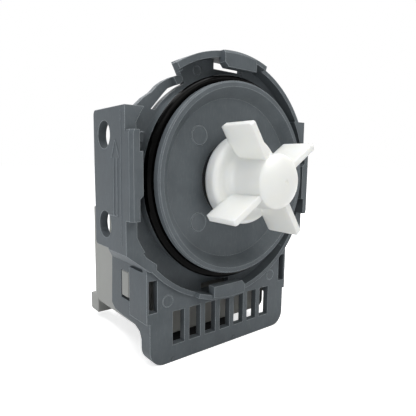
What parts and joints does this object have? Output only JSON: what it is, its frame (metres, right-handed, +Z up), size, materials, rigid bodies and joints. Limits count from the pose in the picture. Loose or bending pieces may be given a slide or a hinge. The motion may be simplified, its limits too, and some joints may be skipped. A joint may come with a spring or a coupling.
{
  "type": "dishwasher drain pump",
  "caption": "Drain pump with a twist-lock flanged housing, O-ring, vaned impeller on a dog clutch, canned magnet rotor, laminated stator with coils, and a boxy motor cover.",
  "frame": {"origin": "on the rotor axis, at the front edge of the round spigot", "axes": "-Y along the rotor axis, out of the spigot towards the sump; +Z up, away from the slotted apron; +X to the right when the impeller is looked at"},
  "size_m": [0.0806, 0.0852, 0.1039],
  "materials": {
    "housing_grey": "satin moulded",
    "o_ring_rubber": "glossy, greased",
    "carrier_plastic": "moulded",
    "bush_bronze": "sintered, oiled",
    "sleeve_rubber": "matte",
    "shaft_steel": "ground",
    "rotor_plastic": "moulded",
    "magnet_ferrite": "matte ground ferrite",
    "washer_plastic": "moulded",
    "impeller_plastic": "satin off-white, slightly translucent",
    "lamination_steel": "stamped sheets",
    "bobbin_plastic": "moulded",
    "coil_copper": "enamelled copper wire",
    "cutout_case": "moulded",
    "body_plastic": "satin moulded",
    "screw_steel": "zinc plated",
    "terminal_plastic": "satin moulded",
    "terminal_tin": "tin plated"
  },
  "bodies": {
    "motor_body": {"front_housing": "housing_grey", "o_ring": "o_ring_rubber", "bearing_carrier": "carrier_plastic", "front_bush": "bush_bronze", "front_bush_sleeve": "sleeve_rubber", "rear_bush": "bush_bronze", "rear_bush_sleeve": "sleeve_rubber", "thrust_washers": "washer_plastic", "stator_core": "lamination_steel", "core_rivets": "shaft_steel", "bobbin_left": "bobbin_plastic", "bobbin_right": "bobbin_plastic", "coil_left": "coil_copper", "coil_right": "coil_copper", "thermal_cutout": "cutout_case", "stator_housing": "body_plastic", "housing_screws": "screw_steel", "rear_cover": "body_plastic", "cover_screws": "screw_steel", "terminal_block": "terminal_plastic", "terminals": "terminal_tin"},
    "rotor": {"rotor_shaft": "shaft_steel", "rotor_core": "rotor_plastic", "rotor_magnet": "magnet_ferrite", "drive_dog": "rotor_plastic"},
    "impeller": {"impeller": "impeller_plastic", "impeller_cap": "impeller_plastic", "clutch_dampers": "sleeve_rubber"}
  },
  "joints": [
    {"name": "rotor_spin", "type": "hinge", "parent": "motor_body", "child": "rotor", "pos_m": [0, 0, 0], "axis": [0, 1, 0], "continuous": true},
    {"name": "impeller_lash", "type": "hinge", "parent": "rotor", "child": "impeller", "pos_m": [0, 0, 0], "axis": [0, 1, 0], "range_deg": [-130, 130]}
  ]
}
